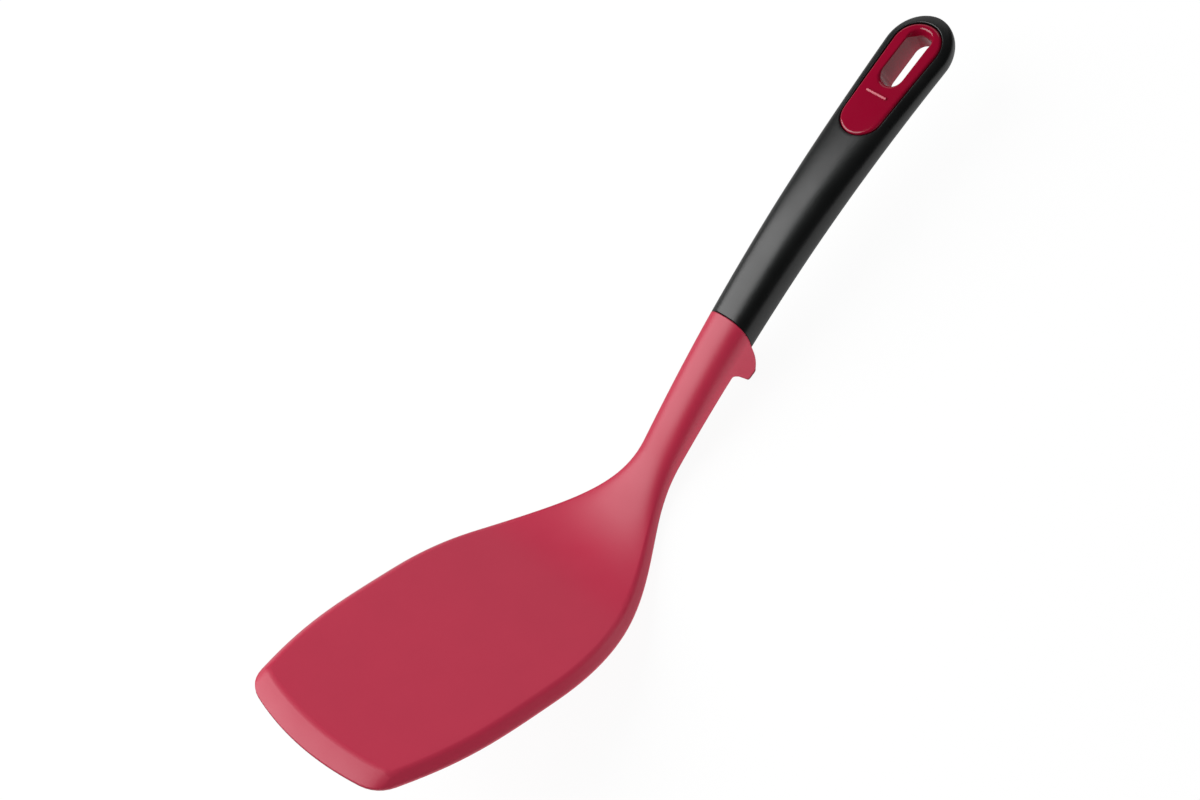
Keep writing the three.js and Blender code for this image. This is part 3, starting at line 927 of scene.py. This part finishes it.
def paper_finish():
    """White with a trace of shadow to the camera; to the object a lit grey with a little white in gloss."""
    paper = bpy.data.materials.new("white paper")
    paper.use_nodes = True
    nodes = paper.node_tree.nodes
    links = paper.node_tree.links
    nodes.remove(nodes["Principled BSDF"])
    light_path = nodes.new('ShaderNodeLightPath')
    mirrored_share = nodes.new('ShaderNodeMath')
    mirrored_share.operation = 'MULTIPLY'
    mirrored_share.inputs[1].default_value = MIRRORED_WHITE
    seen = nodes.new('ShaderNodeMath')
    seen.operation = 'MAXIMUM'
    seen_through = nodes.new('ShaderNodeMath')
    seen_through.operation = 'MAXIMUM'
    white = nodes.new('ShaderNodeEmission')
    shaded = nodes.new('ShaderNodeBsdfDiffuse')
    shaded.inputs['Color'].default_value = grey(SHADOW_TONE)
    backdrop = nodes.new('ShaderNodeMixShader')
    backdrop.inputs['Fac'].default_value = SHADOW_SHARE
    tone = nodes.new('ShaderNodeMix')
    tone.data_type = 'RGBA'
    tone.inputs['A'].default_value = grey(BOUNCE_TONE)
    tone.inputs['B'].default_value = grey(MIRRORED_TONE)
    bounce = nodes.new('ShaderNodeBsdfDiffuse')
    choice = nodes.new('ShaderNodeMixShader')
    links.new(light_path.outputs['Is Glossy Ray'], mirrored_share.inputs[0])
    links.new(light_path.outputs['Is Camera Ray'], seen.inputs[0])
    links.new(mirrored_share.outputs[0], seen.inputs[1])
    links.new(seen.outputs[0], seen_through.inputs[0])
    links.new(light_path.outputs['Is Transmission Ray'], seen_through.inputs[1])
    links.new(white.outputs[0], backdrop.inputs[1])
    links.new(shaded.outputs[0], backdrop.inputs[2])
    links.new(light_path.outputs['Is Glossy Ray'], tone.inputs['Factor'])
    links.new(tone.outputs['Result'], bounce.inputs['Color'])
    links.new(seen_through.outputs[0], choice.inputs['Fac'])
    links.new(bounce.outputs[0], choice.inputs[1])
    links.new(backdrop.outputs[0], choice.inputs[2])
    links.new(choice.outputs[0], nodes["Material Output"].inputs['Surface'])
    return paper


def white_floor():
    bm = bmesh.new()
    bmesh.ops.create_grid(bm, x_segments=1, y_segments=1, size=FLOOR_REACH)
    mesh = bpy.data.meshes.new("studio_floor")
    bm.to_mesh(mesh)
    bm.free()
    mesh.materials.append(paper_finish())
    floor = bpy.data.objects.new("studio_floor", mesh)
    bpy.context.scene.collection.objects.link(floor)


def studio_world():
    """White to the camera, an even dim light to the object, and no part of its gloss."""
    world = bpy.data.worlds.new("studio")
    world.use_nodes = True
    bpy.context.scene.world = world
    nodes = world.node_tree.nodes
    links = world.node_tree.links
    light_path = nodes.new('ShaderNodeLightPath')
    dim = nodes["Background"]
    dim.inputs['Color'].default_value = grey(AMBIENT)
    white = nodes.new('ShaderNodeBackground')
    white.inputs['Color'].default_value = grey(1.0)
    choice = nodes.new('ShaderNodeMixShader')
    links.new(light_path.outputs['Is Camera Ray'], choice.inputs['Fac'])
    links.new(dim.outputs[0], choice.inputs[1])
    links.new(white.outputs[0], choice.inputs[2])
    links.new(choice.outputs[0], nodes["World Output"].inputs['Surface'])
    world.cycles_visibility.glossy = False


def soft_lamp(name, position, target, width, height, power):
    lamp_data = bpy.data.lights.new(name, 'AREA')
    lamp_data.shape = 'RECTANGLE'
    lamp_data.size = width
    lamp_data.size_y = height
    lamp_data.energy = power
    lamp = bpy.data.objects.new(name, lamp_data)
    bpy.context.scene.collection.objects.link(lamp)
    lamp.location = position
    lamp.rotation_euler = (Vector(target) - Vector(position)).to_track_quat('-Z', 'Y').to_euler()
    return lamp


def low_card(name, rise, power, shows_in_gloss):
    """A card that lies face up on the floor on the near side; the camera doesn't see it."""
    card = soft_lamp(name, (0.0, LOW_CARD_SIDE, rise), (0.0, LOW_CARD_SIDE, 1.0),
                     LOW_CARD_LENGTH, LOW_CARD_WIDTH, power)
    card.visible_camera = False
    card.visible_glossy = shows_in_gloss


white_floor()
studio_world()
soft_lamp("key softbox", position=(-0.306, 0.657, 0.864), target=(0.0, 0.0, 0.03),
          width=1.05, height=1.3, power=19.3)
soft_lamp("back card", position=(0.79, 0.55, 0.3), target=(-0.1, 0.0, 0.03),
          width=0.9, height=0.5, power=1.0)
low_card("low card", rise=0.001, power=0.4, shows_in_gloss=True)
low_card("low fill", rise=0.003, power=1.8, shows_in_gloss=False)

# Camera of the photograph.
EYE = Vector((-0.07756, -0.46006, 0.74495))
AIM = Vector((-0.01148, 0.02156, 0.025))
ROLL = math.radians(-46.19)
LENS = 75.75
SENSOR = 36.0
camera_data = bpy.data.cameras.new("photo camera")
camera_data.lens = LENS
camera_data.sensor_width = SENSOR
camera = bpy.data.objects.new("photo camera", camera_data)
bpy.context.scene.collection.objects.link(camera)
upright = (AIM - EYE).to_track_quat('-Z', 'Y').to_matrix().to_4x4()
camera.matrix_world = Matrix.Translation(EYE) @ upright @ Matrix.Rotation(ROLL, 4, 'Z')
bpy.context.scene.camera = camera
bpy.context.scene.view_settings.view_transform = 'Standard'
